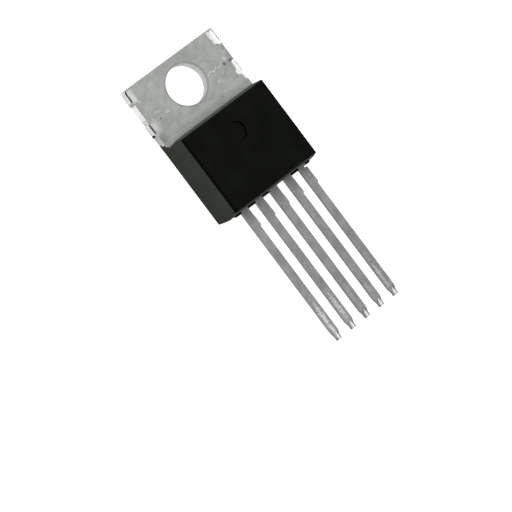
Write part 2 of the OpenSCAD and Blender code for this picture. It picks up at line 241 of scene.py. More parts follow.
def patch_group() -> NodeTree:
    """Makes the group that masks one ragged patch of surface, anywhere from round to boxy.

    Returns:
        A group from a place, a centre, half sizes and the edge's character to a mask.
    """
    tree, graph, given, result = shader_group(
        "surface_patch", ("Place", "Centre", "Half Size"), ("Boxiness", "Raggedness", "Grain", "Softness"),
        ("Mask",))
    away = graph.vector("SUBTRACT", given["Place"], given["Centre"])
    scaled = graph.vector("DIVIDE", away, given["Half Size"])
    squared = graph.vector("MULTIPLY", scaled, scaled)
    box_distance = graph.math("POWER", graph.dot(squared, squared), 0.25)
    distance = graph.ramp(given["Boxiness"], 0.0, 1.0, graph.length(scaled), box_distance)
    ragged = graph.noise(given["Place"], given["Grain"], 4.0, 0.65)
    shift = graph.math("MULTIPLY", graph.math("SUBTRACT", ragged, 0.5), given["Raggedness"])
    reach = graph.math("ADD", distance, graph.math("MULTIPLY", shift, EDGE_SHIFT))
    inner = graph.math("SUBTRACT", 1.0, given["Softness"])
    graph.feed(result["Mask"], graph.ramp(reach, inner, 1.0, 1.0, 0.0))
    return tree


def wear_group() -> NodeTree:
    """Makes the group for fine grain, mottling and specks that every finish uses.

    Returns:
        A group from a place to a mottle value, a speck mask and a grain height.
    """
    tree, graph, given, result = shader_group(
        "surface_wear", ("Place",), ("Mottle Scale", "Speck Scale", "Speck Size", "Grain Scale"),
        ("Mottle", "Specks", "Grain"))
    place = given["Place"]
    size = given["Speck Size"]
    mottle = graph.noise(place, given["Mottle Scale"], 5.0, 0.6)
    cells = graph.node("ShaderNodeTexVoronoi", {
        "Vector": place, "Scale": given["Speck Scale"], "Randomness": 1.0})
    warp = graph.math("MULTIPLY", graph.noise(place, SPECK_WARP_SCALE, 2.0, 0.55), SPECK_WARP)
    warped = graph.math("ADD", cells.outputs["Distance"], warp)
    specks = graph.ramp(warped, size, graph.math("ADD", size, SPECK_SOFTNESS), 1.0, 0.0)
    grain = graph.noise(place, given["Grain Scale"], 4.0, 0.7)
    graph.feed(result["Mottle"], mottle)
    graph.feed(result["Specks"], specks)
    graph.feed(result["Grain"], grain)
    return tree


@dataclass(frozen=True)
class Coarseness:
    """Cells per millimetre of a finish's mottling, grain and specks, and a speck's share of a cell."""

    mottle_scale: float
    grain_scale: float = 18.0
    speck_scale: float = 0.7
    speck_size: float = 0.03

    def marks(self, graph: Graph, group: NodeTree, place: Source) -> NodeOutputs:
        """Adds the wear group and returns its sockets Mottle, Specks and Grain."""
        node = graph.group(group, Place=place, Mottle_Scale=self.mottle_scale, Speck_Scale=self.speck_scale,
                           Speck_Size=self.speck_size, Grain_Scale=self.grain_scale)
        return node.outputs


# Half height of a patch that is drawn in plan and reaches all levels
ALL_LEVELS = 1e3
# X of the tab's left side, between its plain stretches and its sheared stubs
LEFT_SIDE_X = -5.12


@dataclass(frozen=True)
class Patch:
    """One ragged patch of surface whose finish differs, or where light or shade is painted.

    The centre and half sizes are millimetres, the level is the patch's linear grey and strength is
    how much of it covers the plating. Raggedness is how far noise of the given grain frays the
    edge, softness is the share of the half size over which the edge fades, and boxiness goes from
    0 for an ellipsoid to 1 for a block.
    """

    centre: tuple[float, float, float]
    half: tuple[float, float, float]
    level: float
    strength: float = 1.0
    raggedness: float = 0.25
    grain: float = 7.0
    softness: float = 0.5
    boxiness: float = 0.0
    on: Surface = Surface.FRONT_FACE
    on_each_lead: bool = False


def on_face(x: float, y: float, half_x: float, half_y: float, level: float, strength: float = 1.0,
            *edge: float) -> Patch:
    """Returns a patch on the front faces, drawn in plan, with its edge in Patch's order."""
    return Patch((x, y, 0.0), (half_x, half_y, ALL_LEVELS), level, strength, *edge)


def on_leads(x: float, y: float, half_x: float, half_y: float, level: float, strength: float) -> Patch:
    """Returns a patch at the same place on each lead, drawn in plan from the lead's middle."""
    return Patch((x, y, 0.0), (half_x, half_y, ALL_LEVELS), level, strength, raggedness=0.05, grain=6.0,
                 softness=0.6, on_each_lead=True)


def on_left_side(y: float, half_y: float, level: float, z: float = 0.6, half_z: float = 1.2,
                 strength: float = 0.9) -> Patch:
    """Returns a patch on the tab's left side."""
    return Patch((LEFT_SIDE_X, y, z), (0.2, half_y, half_z), level, strength, raggedness=0.3, grain=6.0,
                 softness=0.35, boxiness=0.8, on=Surface.SHEARED_SIDE)


@dataclass(frozen=True)
class LeadRow:
    """Where the leads are, as the metal's finish and the cut faces need it."""

    spacing: float = 1.702
    width: float = 0.72
    thickness: float = 0.45
    back: float = 2.52
    exit_y: float = -11.96
    shoulder_y: float = -13.84
    dam_bar_width: float = 0.13
    tip_y: float = -26.16
    neck_width: float = 0.42
    neck_length: float = 0.2
    tip_drop: float = 0.16
    numbers: tuple[int, ...] = (1, 2, 3, 4, 5)

    def middle(self, number: int) -> float:
        """Returns the X of a lead's middle."""
        return (number - 3) * self.spacing


@dataclass(frozen=True)
class TieBars:
    """Where the two tie bars on each side of the tab were sheared off."""

    tab_width: float = 10.2
    proud: float = 0.05
    length: float = 1.25
    top: float = 1.18
    middles: tuple[float, ...] = (1.97, -1.53)

    def edge(self, side: int) -> float:
        """Returns the X of the sheared ends on one side, -1 or 1."""
        return side * (self.tab_width / 2 + self.proud)


@dataclass(frozen=True)
class TinnedMetal:
    """Dull tin plating over stamped copper, marked by the tools and by handling, with painted light and
    shade.

    Faces, sides and walls are linear greys, and each range holds the factors that a noise
    multiplies them by. Turns are spans of the normal's Z, radii are measured from the hole's axis.
    """

    name: str = "tinned_copper"
    tab_face: float = 0.367
    lead_face: float = 0.288
    # The tab's sides are a much lighter grey than its face: partly lighter sheared copper, partly painted
    # light from the left
    tab_side_painted_light: float = 0.77
    lead_side: float = 0.21
    hole_wall: float = 0.47
    hole_wall_back: float = 0.54
    hole_wall_z: tuple[float, float] = (0.2, 1.18)
    hole_radii: tuple[float, float] = (2.1, 2.05)
    # Painted shadow round the hole's edge on the face: where it starts and reaches full strength, and that
    # strength
    hole_shadow_radii: tuple[float, float] = (2.17, 1.95)
    hole_shadow_strength: float = 0.35
    roughness: float = 0.5
    roughness_spread: float = 0.05
    metallic: float = 0.5
    specular: float = 0.03
    matt_below: float = 0.1
    face_tint: float = 0.015
    side_tint: float = 0.01
    mark_tint: float = 0.012
    dark: float = 0.1
    speck_strength: float = 0.5
    mottle_range: tuple[float, float] = (0.91, 1.09)
    grain_range: tuple[float, float] = (0.92, 1.08)
    fine_range: tuple[float, float] = (0.95, 1.05)
    fine_scale: float = 5.5
    front_turn: tuple[float, float] = (0.85, 0.95)
    side_turn: tuple[float, float] = (0.6, 0.3)
    edge_turn: tuple[float, float] = (0.75, 0.3)
    streak_slant: float = 0.8
    streak_stretch: tuple[float, float, float] = (1.0, 0.2, 1.0)
    streak_scale: float = 2.2
    relief_strength: float = 0.25
    relief_depth: float = 0.01
    tab_to_leads_y: tuple[float, float] = (-5.4, -6.4)
    # Height, middles and half lengths of the painted shade lines along the sheared stubs
    shear_shade_z: float = 1.16
    shear_shade_middles: tuple[float, float] = (2.17, -1.41)
    shear_shade_halves: tuple[float, float] = (0.68, 0.6)
    # Middle of the painted highlights along the lead ends
    tip_highlight_y: float = -23.85
    coarseness: Coarseness = Coarseness(mottle_scale=0.9)
    leads: LeadRow = LeadRow()
    tie_bars: TieBars = TieBars()

    def patches(self) -> list[Patch]:
        """Returns the places where tools and handling changed the plating, and the painted light and shade.
        """
        return self._tie_bar_highlights_and_shade() + self._tab_marks() + self._side_marks() + self._lead_highlights_shade_and_nicks()

    def _tie_bar_highlights_and_shade(self) -> list[Patch]:
        """Lists the painted highlight strips beside the sheared tie bars, and painted shade lines along
        them.

        Returns:
            The patches, from the lowest layer up.
        """
        # Painted highlights on the metal that the shear rolled over: lighter than the face on the left, near
        # white on the right
        strips = (
            (-4.77, 2.0, 0.31, 0.88, 0.6, 0.75, 0.5, 5.0, 0.45, 0.9),
            (-4.68, 2.3, 0.14, 0.2, 0.42, 0.6, 0.6, 6.0, 0.6),
            (-4.72, -1.3, 0.32, 0.62, 0.53, 0.75, 0.9, 6.0, 0.5, 0.8),
            (-4.55, -1.75, 0.28, 0.3, 0.5, 0.6, 0.9, 6.0, 0.6, 0.5),
            (4.7, 2.0, 0.38, 0.76, 0.88, 1.0, 0.22, 4.0, 0.3, 0.9),
            (4.9, 1.38, 0.22, 0.3, 1.0, 1.0, 0.2, 5.0, 0.3, 0.6),
            (4.9, 2.05, 0.2, 0.68, 1.0, 1.0, 0.15, 5.0, 0.35, 0.9),
            (4.5, 2.35, 0.14, 0.16, 0.6, 0.7, 0.4, 6.0, 0.6),
            (4.47, 1.75, 0.14, 0.16, 0.5, 0.75, 0.4, 6.0, 0.6),
            (4.9, -1.4, 0.22, 0.85, 1.0, 1.0, 0.22, 5.0, 0.25, 0.8),
            (4.72, -1.85, 0.28, 0.34, 0.9, 1.0, 0.3, 5.0, 0.35, 0.4),
            (5.02, -2.35, 0.18, 0.55, 1.0, 1.0, 0.2, 5.0, 0.35, 0.5),
        )
        places = [on_face(*strip) for strip in strips]
        # Painted shade lines along the sheared stubs' front edges: black on the left, dark grey on the right
        for side, level, width in ((-1, 0.004, 0.13), (1, 0.13, 0.075)):
            for middle, half in zip(self.shear_shade_middles, self.shear_shade_halves):
                centre = (self.tie_bars.edge(side), middle, self.shear_shade_z)
                places.append(Patch(centre, (width, half, 0.17), level, 1.0, 0.05, 12.0, 0.2, 1.0,
                                    Surface.BOTH))
        return places

    def _tab_marks(self) -> list[Patch]:
        """Lists the painted broad shading, rubbed places, scratches, pits and stains on the tab's front
        face.

        Returns:
            The patches, from the lowest layer up.
        """
        scuffs = (
            (2.2, -0.5, 0.16, 0.09, 0.58, 0.75, 0.5), (2.5, -0.38, 0.18, 0.09, 0.6, 0.75, 0.5),
            (2.82, -0.5, 0.18, 0.11, 0.64, 0.75, 0.5), (3.12, -0.38, 0.16, 0.09, 0.58, 0.75, 0.5),
            (3.45, -0.48, 0.2, 0.08, 0.54, 0.7, 0.5), (2.65, -1.5, 0.2, 0.14, 0.55, 0.6, 0.8),
            (3.0, -1.75, 0.22, 0.18, 0.52, 0.55, 0.8), (2.55, -2.5, 0.25, 0.14, 0.5, 0.4, 0.8),
            (3.5, -2.0, 0.35, 0.16, 0.5, 0.4, 0.8), (-2.95, -0.9, 0.3, 0.14, 0.52, 0.6, 0.8),
            (-3.85, -0.4, 0.4, 0.14, 0.5, 0.55, 0.9), (-4.55, 1.2, 0.1, 0.16, 0.6, 0.6, 0.4))
        smudges = (
            (4.85, 0.75, 0.25, 0.4, 0.26, 0.6, 0.7), (4.85, -0.05, 0.22, 0.4, 0.25, 0.6, 0.7),
            (4.75, -1.15, 0.1, 0.3, 0.3, 0.4, 0.6))
        pits = (
            (-3.9, -1.07, 0.12, 0.1, 0.08, 0.8), (-1.2, -2.3, 0.09, 0.08, 0.1, 0.8),
            (0.0, -2.12, 0.05, 0.05, 0.15, 0.7), (2.1, -2.8, 0.1, 0.13, 0.1, 0.75),
            (3.97, -2.12, 0.14, 0.09, 0.1, 0.75), (3.45, -2.1, 0.08, 0.06, 0.14, 0.7),
            (4.27, -2.14, 0.14, 0.08, 0.12, 0.75))
        return [
            # Broad shading
            on_face(-4.8, -2.8, 0.75, 1.1, 0.2, 0.8, 0.08, 2.0, 1.0, 0.2),
            on_face(0.0, 2.3, 4.2, 0.9, 0.29, 0.55, 0.15, 1.0, 1.0),
            on_face(3.6, -2.6, 2.1, 0.85, 0.5, 0.65, 0.15, 1.0, 1.0),
            on_face(-0.3, -2.6, 3.3, 0.4, 0.45, 0.55, 0.3, 5.0, 0.8, 0.7),
            # Chain of scuffs to the right of the hole, and single scuffs
            *(on_face(*place, 9.0) for place in scuffs),
            on_face(-2.8, 1.9, 0.4, 0.45, 0.5, 0.5, 1.0, 8.0, 0.9),
            on_face(4.34, -0.12, 0.2, 0.35, 0.55, 0.65, 0.5, 8.0),
            on_face(4.6, 0.45, 0.1, 0.3, 0.5, 0.4, 0.6, 8.0),
            # Dark smudges along the right edge, then pits and dark spots
            *(on_face(*place, 6.0) for place in smudges),
            on_face(4.05, -0.54, 0.19, 0.24, 0.07, 0.9, 0.12, 8.0, 0.8),
            on_face(4.76, -0.56, 0.33, 0.2, 0.08, 0.85, 0.2, 8.0, 0.7),
            on_face(4.68, 1.13, 0.16, 0.08, 0.12, 0.7, 0.2, 8.0, 0.7),
            *(on_face(*place, 0.1, 8.0, 0.7) for place in pits),
            # Mottled band and line along the moulding, and the resin at its left corner
            on_face(-0.3, -3.16, 4.6, 0.28, 0.365, 0.8, 1.0, 12.0, 0.5, 0.9),
            on_face(-3.2, -3.06, 1.6, 0.06, 0.5, 0.5, 0.5, 9.0, 0.6, 0.9),
            on_face(0.1, -3.36, 5.0, 0.1, 0.26, 0.5, 0.3, 5.0),
            on_face(-5.05, -3.56, 0.17, 0.14, 0.004, 1.0, 0.1, 5.0, 0.4, 0.6),
        ]

    def _side_marks(self) -> list[Patch]:
        """Lists the stains on the tab's left side, and the resin that bled along it.

        Returns:
            The patches, from the lowest layer up.
        """
        stains = (
            (2.3, 0.65, 0.62, 0.6, 1.2, 0.7), (2.8, 0.08, 0.2, 0.6, 1.2, 0.7), (1.38, 0.26, 0.34),
            (-0.62, 0.34, 0.5), (-1.45, 0.6, 0.62, 0.6, 1.2, 0.7), (-2.55, 0.7, 0.36),
            (-2.02, 0.15, 0.004, 0.25, 0.7, 1.0), (-3.12, 0.18, 0.004, 0.1, 0.6, 1.0),
            (-3.5, 0.42, 0.004, 0.6, 1.4, 1.0), (1.97, 0.7, 0.4, 0.05, 0.25, 0.6),
            (-1.4, 0.62, 0.25, 0.05, 0.25, 0.8))
        return [on_left_side(*stain) for stain in stains]

    def _lead_highlights_shade_and_nicks(self) -> list[Patch]:
        """Lists the painted highlights near the lead tips, the painted shade and the nicks near the
        moulding.

        Returns:
            The patches, from the lowest layer up.
        """
        row = self.leads
        # Painted highlights along the middle of each crowned, solder-dipped end: shift, half width, half
        # length, level and strength
        tip_highlights = {1: (-0.07, 0.3, 2.1, 0.74, 0.95), 2: (-0.05, 0.28, 1.95, 0.64, 0.85),
                3: (-0.12, 0.14, 1.4, 0.45, 0.6), 4: (-0.14, 0.14, 0.7, 0.5, 0.7),
                5: (-0.15, 0.14, 2.0, 0.6, 0.8)}
        places = []
        for number, (shift, half_w, half_l, level, strength) in tip_highlights.items():
            places.append(on_face(row.middle(number) + shift, self.tip_highlight_y, half_w, half_l, level, strength,
                                  0.9, 6.0, 0.85))
        # More painted highlights: a long one at lead 1's tip, and on every lead two near the end and one
        # over the tip's top edge and end
        places.append(on_face(row.middle(1) - 0.06, row.tip_y + 0.9, 0.21, 0.9, 0.68, 0.9,
                              0.15, 5.0, 0.7, 0.6))
        for above_end, half_w in ((0.58, 0.08), (0.38, 0.17)):
            places.append(on_leads(0.02, row.tip_y + above_end, half_w, 0.2, 1.0, 1.0))
        places.append(Patch((0.03, row.tip_y + 0.16, row.back + row.thickness), (0.21, 0.26, 0.3), 1.0, 1.0,
                            0.05, 6.0, 0.5, 0.3, Surface.BOTH, on_each_lead=True))
        # Painted shade on each lead just outside the moulding
        places.append(on_leads(0.0, row.exit_y - 0.6, 0.6, 1.1, 0.2, 0.5))
        specks = ((-1.5, -14.5, 0.06, 0.1), (1.4, -13.3, 0.07, 0.12), (3.55, -13.0, 0.06, 0.2),
                  (3.75, -13.6, 0.05, 0.3), (2.05, -14.2, 0.05, 0.2), (-0.1, -22.6, 0.08, 0.12))
        places.extend(on_face(*place, 0.55, 0.7, 0.4, 9.0, 0.7) for place in specks)
        return places

    def material(self, wear: NodeTree, patch: NodeTree) -> Material:
        """Builds the material.

        Args:
            wear: the group for mottling, specks and grain.
            patch: the group for one ragged patch.

        Returns:
            The material, on object coordinates in millimetres.
        """
        material, graph, shader = new_finish(self.name)
        place, normal = surface_place(graph)
        marks = self.coarseness.marks(graph, wear, place)
        front = graph.parts(normal)["Z"]
        facing = graph.math("ABSOLUTE", front)
        colour = self._bare_colour(graph, place, facing, marks)
        reach = {Surface.FRONT_FACE: graph.ramp(front, *self.front_turn),
                 Surface.SHEARED_SIDE: graph.ramp(facing, *self.side_turn), Surface.BOTH: 1.0}
        on_lead = self._place_on_lead(graph, place)
        for spot in self.patches():
            mask = graph.group(patch, Place=on_lead if spot.on_each_lead else place, Centre=spot.centre,
                               Half_Size=spot.half, Boxiness=spot.boxiness, Raggedness=spot.raggedness,
                               Grain=spot.grain, Softness=spot.softness)
            share = graph.math("MULTIPLY", mask.outputs["Mask"], spot.strength)
            share = graph.math("MULTIPLY", share, reach[spot.on])
            colour = graph.blend(share, colour, grey(spot.level, self.mark_tint))
        fine = graph.spread(graph.noise(place, self.fine_scale, 3.0, 0.7), *self.fine_range)
        self._surface(graph, shader, graph.shade(colour, fine), marks)
        return material

    def _place_on_lead(self, graph: Graph, place: Source) -> NodeSocket:
        """Measures X from the nearest lead's middle.

        Args:
            graph: the material's graph.
            place: object coordinates in millimetres.

        Returns:
            The place, alike on all leads.
        """
        split = graph.parts(place)
        half_space = self.leads.spacing / 2
        from_middle = graph.node("ShaderNodeMath", {0: split["X"], 1: half_space, 2: -half_space},
                                 operation="WRAP").outputs[0]
        return graph.node("ShaderNodeCombineXYZ", {
            "X": from_middle, "Y": split["Y"], "Z": split["Z"]}).outputs[0]

    def _bare_colour(self, graph: Graph, place: Source, facing: Source, marks: NodeOutputs) -> NodeSocket:
        """Colours the rolled faces, the sheared sides and the hole's wall, with a painted shadow round the
        hole.

        Args:
            graph: the material's graph.
            place: object coordinates in millimetres.
            facing: how far the surface faces front or back, from 0 to 1.
            marks: the wear group's outputs.

        Returns:
            The colour before any patch.
        """
        split = graph.parts(place)
        below_tab = graph.ramp(split["Y"], *self.tab_to_leads_y)
        radius = graph.length(graph.vector("MULTIPLY", place, (1, 1, 0)))
        in_hole = graph.ramp(radius, *self.hole_radii)
        wall = graph.blend(graph.ramp(split["Z"], *self.hole_wall_z),
                           grey(self.hole_wall_back, self.face_tint), grey(self.hole_wall, self.face_tint))
        # Painted shadow: a dark ring on the face round the hole's edge
        hole_shadow = graph.ramp(radius, *self.hole_shadow_radii, 0.0, self.hole_shadow_strength)
        face = graph.blend(below_tab, grey(self.tab_face), grey(self.lead_face, self.face_tint))
        face = graph.blend(hole_shadow, face, grey(self.dark))
        # Sheared sides: the tab's light grey is partly painted light from the left
        side = graph.blend(below_tab, grey(self.tab_side_painted_light, self.side_tint),
                           grey(self.lead_side, self.side_tint))
        side = graph.blend(in_hole, side, wall)
        colour = graph.blend(graph.ramp(facing, *self.edge_turn), face, side)
        lightness = graph.spread(marks["Mottle"], *self.mottle_range)
        grain = graph.spread(marks["Grain"], *self.grain_range)
        slanted = graph.node("ShaderNodeVectorRotate", {"Vector": place, "Angle": self.streak_slant},
                             rotation_type="Z_AXIS").outputs[0]
        streaks = graph.noise(graph.vector("MULTIPLY", slanted, self.streak_stretch), self.streak_scale,
                              4.0, 0.6)
        grain = graph.math("MULTIPLY", grain, graph.ramp(streaks, *NOISE_CORE, *self.fine_range))
        colour = graph.shade(colour, graph.math("MULTIPLY", lightness, grain))
        specks = graph.math("MULTIPLY", marks["Specks"], self.speck_strength)
        return graph.blend(specks, colour, grey(self.dark))

    def _surface(self, graph: Graph, shader: Node, colour: NodeSocket, marks: NodeOutputs) -> None:
        """Joins the colour, roughness, relief and shine, which dark residue and painted shade lack.

        Args:
            graph: the material's graph.
            shader: the material's shader.
            colour: the finished colour.
            marks: the wear group's outputs.
        """
        roughness = graph.spread(marks["Mottle"], self.roughness - self.roughness_spread,
                                 self.roughness + self.roughness_spread)
        lightness = graph.node("ShaderNodeRGBToBW", {0: colour}).outputs[0]
        shine = graph.math("MULTIPLY", graph.ramp(lightness, 0.0, self.matt_below), self.metallic)
        graph.fill(shader, {"Base Color": colour, "Roughness": roughness, "Metallic": shine,
                            "Specular IOR Level": self.specular})
        graph.relief(shader, marks["Grain"], self.relief_strength, self.relief_depth)


@dataclass(frozen=True)
class MouldedEpoxy:
    """Near-black filled epoxy with the fine spark-eroded grain of its mould.

    Front, sides and ends are linear greys, and their ranges hold the factors that mottling
    multiplies them by. Turns are spans of the normal's Z, and end_turn of its Y. The lighter
    sides and ends are painted light; the darker back half of the sides, the front's left edge and
    the ejector mark's deep side are painted shade.
    """

    name: str = "moulded_epoxy"
    front: float = 0.005
    front_range: tuple[float, float] = (0.85, 1.2)
    # The sides and ends are painted light: lighter greys than the front, though the epoxy is the same
    sides: float = 0.0435
    side_range: tuple[float, float] = (0.92, 1.08)
    ends: float = 0.08
    front_tint: float = 0.15
    side_tint: float = 0.14
    roughness: float = 0.5
    side_roughness: float = 0.75
    roughness_shift: tuple[float, float] = (-0.04, 0.06)
    specular: float = 0.02
    relief_strength: float = 0.35
    relief_depth: float = 0.008
    side_turn: tuple[float, float] = (0.8, 0.55)
    end_turn: tuple[float, float] = (0.5, 0.9)
    front_turn: tuple[float, float] = (0.5, 0.9)
    parting_turn: tuple[float, float] = (0.06, 0.0)
    ejector: tuple[float, float, float] = (-0.06, -6.03, 0.0)
    ejector_radius: float = 0.89
    ejector_lean: tuple[float, float, float] = (0.978, -0.208, 0.0)
    arc_width: tuple[float, float] = (0.04, 0.13)
    arc_core: float = 0.3
    arc_growth: tuple[float, float] = (-0.3, 0.9)
    arc_fade: tuple[float, float] = (-0.3, 0.4)
    # Span and strength of the painted shade along the front face's left edge
    left_edge_shade_x: tuple[float, float] = (-4.35, -4.55)
    left_edge_shade_strength: float = 0.6
    # Strength of the painted shade on the side faces of the back half, below the parting line
    shade_behind_parting: float = 0.12
    coarseness: Coarseness = Coarseness(mottle_scale=0.5, grain_scale=26.0)

    def material(self, wear: NodeTree) -> Material:
        """Builds the material.

        Args:
            wear: the group for mottling, specks and grain.

        Returns:
            The material, on object coordinates in millimetres.
        """
        material, graph, shader = new_finish(self.name)
        place, normal = surface_place(graph)
        marks = self.coarseness.marks(graph, wear, place)
        turned = graph.parts(normal)
        facing = turned["Z"]
        on_side = graph.ramp(graph.math("ABSOLUTE", facing), *self.side_turn)
        on_end = graph.ramp(graph.math("ABSOLUTE", turned["Y"]), *self.end_turn)
        mottle = graph.spread(marks["Mottle"])
        front = graph.blend(mottle, *(grey(self.front * f, self.front_tint) for f in self.front_range))
        # Painted light: the sides get a lighter grey than the front
        sides = graph.blend(mottle, *(grey(self.sides * f, self.side_tint) for f in self.side_range))
        # Painted shade: the side faces of the back half, below the parting line, are darkened a little
        shade_behind = graph.ramp(facing, *self.parting_turn, 0.0, self.shade_behind_parting)
        sides = graph.blend(shade_behind, sides, grey(0.0))
        # Painted light: the ends are lighter still
        sides = graph.blend(on_end, sides, grey(self.ends, self.side_tint))
        # Painted shade along the front face's left edge
        left_edge_shade = graph.ramp(graph.parts(place)["X"], *self.left_edge_shade_x, 0.0, self.left_edge_shade_strength)
        left_edge_shade = graph.math("MULTIPLY", left_edge_shade, graph.ramp(facing, *self.front_turn))
        # Both masks are painted shade, drawn black: the ejector mark's deep side and the front's left edge
        dark = graph.math("MAXIMUM", self._ejector_arc(graph, place), left_edge_shade)
        colour = graph.blend(dark, graph.blend(on_side, front, sides), grey(0.0))
        roughness = graph.math("ADD", graph.ramp(on_side, 0.0, 1.0, self.roughness, self.side_roughness),
                               graph.spread(marks["Grain"], *self.roughness_shift))
        graph.fill(shader, {"Base Color": colour, "Roughness": roughness,
                            "Specular IOR Level": self.specular})
        graph.relief(shader, marks["Grain"], self.relief_strength, self.relief_depth)
        return material

    def _ejector_arc(self, graph: Graph, place: Source) -> NodeSocket:
        """Masks the deep side of the ejector pin mark, where no light gets in.

        Args:
            graph: the material's graph.
            place: object coordinates in millimetres.

        Returns:
            The mask, strongest at the right of the mark.
        """
        flat = graph.vector("MULTIPLY", graph.vector("SUBTRACT", place, self.ejector), (1, 1, 0))
        off_ring = graph.math("ABSOLUTE", graph.math("SUBTRACT", graph.length(flat), self.ejector_radius))
        right = graph.dot(flat, self.ejector_lean)
        width = graph.ramp(right, *self.arc_growth, *self.arc_width)
        depth = graph.ramp(off_ring, width, graph.math("MULTIPLY", width, self.arc_core))
        return graph.math("MULTIPLY", depth, graph.ramp(right, *self.arc_fade))


@dataclass(frozen=True)
class PlainMetal:
    """Finish of a small inner piece: metal or silicon with a light grain."""

    name: str
    colour: tuple[float, float, float, float]
    roughness: float
    metallic: float
    darkest: float = 0.8
    coarseness: Coarseness = Coarseness(mottle_scale=2.0)

    def material(self, wear: NodeTree) -> Material:
        """Builds the material.

        Args:
            wear: the group for mottling, specks and grain.

        Returns:
            The material, on object coordinates in millimetres.
        """
        material, graph, shader = new_finish(self.name)
        marks = self.coarseness.marks(graph, wear, surface_place(graph)[0])
        darker = tuple(self.darkest * c for c in self.colour[:3]) + (1.0,)
        colour = graph.blend(graph.ramp(marks["Mottle"], *NOISE_CORE), darker, self.colour)
        graph.fill(shader, {"Base Color": colour, "Roughness": self.roughness, "Metallic": self.metallic})
        return material


# Millimetres within which loose corners are welded, degrees below which faces count as one, and
# degrees above which an edge is rounded
WELD_DISTANCE = 0.0002
FLAT_ANGLE = 0.2
EDGE_ANGLE = 30.0


def add_object(name: str, data: ID) -> Object:
    """Makes an object of a mesh, a lamp or a camera and puts it in the scene.

    Args:
        name: name of the object.
        data: what it shows.

    Returns:
        The object.
    """
    item = bpy.data.objects.new(name, data)
    bpy.context.scene.collection.objects.link(item)
    return item


def apply_modifiers(piece: Object) -> None:
    """Turns a piece with live modifiers into the plain mesh that they give.

    Args:
        piece: the piece.
    """
    bpy.context.view_layer.update()
    graph = bpy.context.evaluated_depsgraph_get()
    mesh = bpy.data.meshes.new_from_object(piece.evaluated_get(graph), depsgraph=graph)
    piece.modifiers.clear()
    piece.data = mesh


def welded_copy(node: str, name: str) -> Object:
    """Copies a CAD node's mesh, welds its loose triangles and clears the edges inside flat faces.

    Args:
        node: name of the CAD node.
        name: name of the new piece.

    Returns:
        The new piece, in place.
    """
    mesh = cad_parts[node].data.copy()
    work = bmesh.new()
    work.from_mesh(mesh)
    bmesh.ops.remove_doubles(work, verts=work.verts, dist=WELD_DISTANCE * MM)
    bmesh.ops.dissolve_limit(work, angle_limit=math.radians(FLAT_ANGLE), verts=work.verts,
                             edges=work.edges, delimit=set())
    bmesh.ops.recalc_face_normals(work, faces=work.faces)
    work.to_mesh(mesh)
    work.free()
    mesh.name = name
    mesh.materials.clear()
    return add_object(name, mesh)


def soften_edges(piece: Object, radius: float) -> None:
    """Rounds a piece's edges a little, as shearing and plating leave them.

    Args:
        piece: the piece to round.
        radius: width of the rounding, in millimetres.
    """
    bevel = piece.modifiers.new("edge_rounding", "BEVEL")
    bevel.width = radius * MM
    bevel.segments = 2
    bevel.limit_method = "ANGLE"
    bevel.angle_limit = math.radians(EDGE_ANGLE)
    bevel.use_clamp_overlap = True
    apply_modifiers(piece)


@dataclass
class LeadFrame:
    """The stamped tab with its centre lead, and the four other leads.

    Growths are the factors by which the copies of the leads and of their necks are wider than the
    solids, and neck_stretch is how far the upper end of each neck and taper is moved up.
    """

    edge_radius: float = 0.025
    lead_growth: float = 1.055
    neck_growth: float = 1.3
    neck_stretch: float = 0.22
    neck_margin: float = 0.01
    end_margin: float = 0.05
    tip_length: float = 0.8
    slot: str = "tinned_copper"
    nodes: tuple[str, ...] = ("heat_sink_tab", "lead_1", "lead_2", "lead_4", "lead_5")
    leads: LeadRow = LeadRow()

    def build(self, material: Material) -> None:
        """Builds each stamped piece from its CAD node, with rounded edges.

        Args:
            material: the plating's material.
        """
        for node in self.nodes:
            piece = welded_copy(node, f"plated_{node}")
            self._fit_leads(piece.data)
            soften_edges(piece, self.edge_radius)
            piece.data.materials.append(material)
            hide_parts(node)
            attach(piece, BODY)
            log.info("%s: %d faces", piece.name, len(piece.data.polygons))

    def _fit_leads(self, mesh: Mesh) -> None:
        """Fits the leads to the photograph: wider outside the housing, with wider and longer necks.

        Args:
            mesh: mesh of a stamped piece.
        """
        row = self.leads
        neck_top = row.tip_y + row.neck_length + self.neck_margin
        for vertex in mesh.vertices:
            x, y = vertex.co.x / MM, vertex.co.y / MM
            if y < row.exit_y:
                middle = min((row.middle(number) for number in row.numbers), key=lambda at: abs(x - at))
                growth = self.neck_growth if y < neck_top else self.lead_growth
                vertex.co.x = (middle + (x - middle) * growth) * MM
                if row.tip_y + self.end_margin < y < row.tip_y + self.tip_length:
                    vertex.co.y = (y + self.neck_stretch) * MM


@dataclass(frozen=True)
class CutFace:
    """Line along a sheared face, with the height of the sheared metal there."""

    start: tuple[float, float]
    end: tuple[float, float]
    middle_z: float
    height: float


